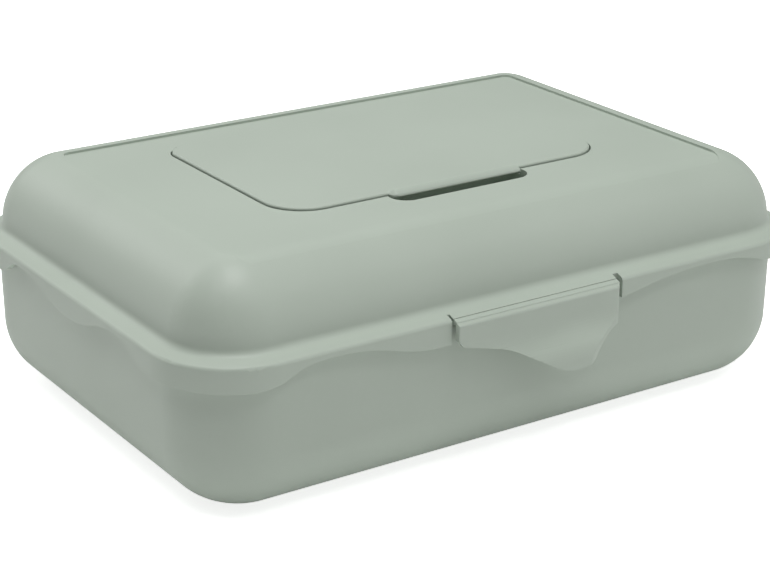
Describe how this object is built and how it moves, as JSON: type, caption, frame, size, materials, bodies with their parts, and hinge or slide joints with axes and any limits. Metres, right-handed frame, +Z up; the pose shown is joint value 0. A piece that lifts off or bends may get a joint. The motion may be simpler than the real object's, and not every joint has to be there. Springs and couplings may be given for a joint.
{
  "type": "wipes dispenser",
  "caption": "Rounded clip-down box for wet wipes: a tub, a hinged domed lid with a front latch, and a flip-up flap over a soft dispensing slot.",
  "frame": {"origin": "centre of the tub's base, on the surface it stands on", "axes": "+X along the long front, to the right seen from the front; +Y to the back; +Z up"},
  "size_m": [0.22, 0.1694, 0.0741],
  "materials": {
    "plastic": "fine matte moulded polypropylene, sage green",
    "soft_seal": "matte soft elastomer, grey green",
    "pin_steel": "drawn wire"
  },
  "bodies": {
    "tub": {"tub": "plastic", "hinge_pin_left": "pin_steel", "hinge_pin_right": "pin_steel"},
    "lid": {"lid": "plastic", "lid_seal": "soft_seal", "mouth_insert": "soft_seal", "mouth_frame": "plastic"},
    "latch_strip": {"latch_strip": "plastic"},
    "latch": {"latch": "plastic"},
    "flap": {"flap": "plastic", "flap_seal": "soft_seal"}
  },
  "joints": [
    {"name": "lid_hinge", "type": "hinge", "parent": "tub", "child": "lid", "pos_m": [0, 0.0818, 0.0435], "axis": [-1, 0, 0], "range_deg": [0, 105]},
    {"name": "strip_fold", "type": "hinge", "parent": "lid", "child": "latch_strip", "pos_m": [0, -0.07748, 0.04888], "axis": [-1, 0, 0], "range_deg": [0, 50]},
    {"name": "latch_fold", "type": "hinge", "parent": "latch_strip", "child": "latch", "pos_m": [0, -0.07845, 0.04853], "axis": [-1, 0, 0], "range_deg": [0, 50]},
    {"name": "flap_hinge", "type": "hinge", "parent": "lid", "child": "flap", "pos_m": [0.0014, 0.0398, 0.07235], "axis": [-1, 0, 0], "range_deg": [0, 100]}
  ]
}
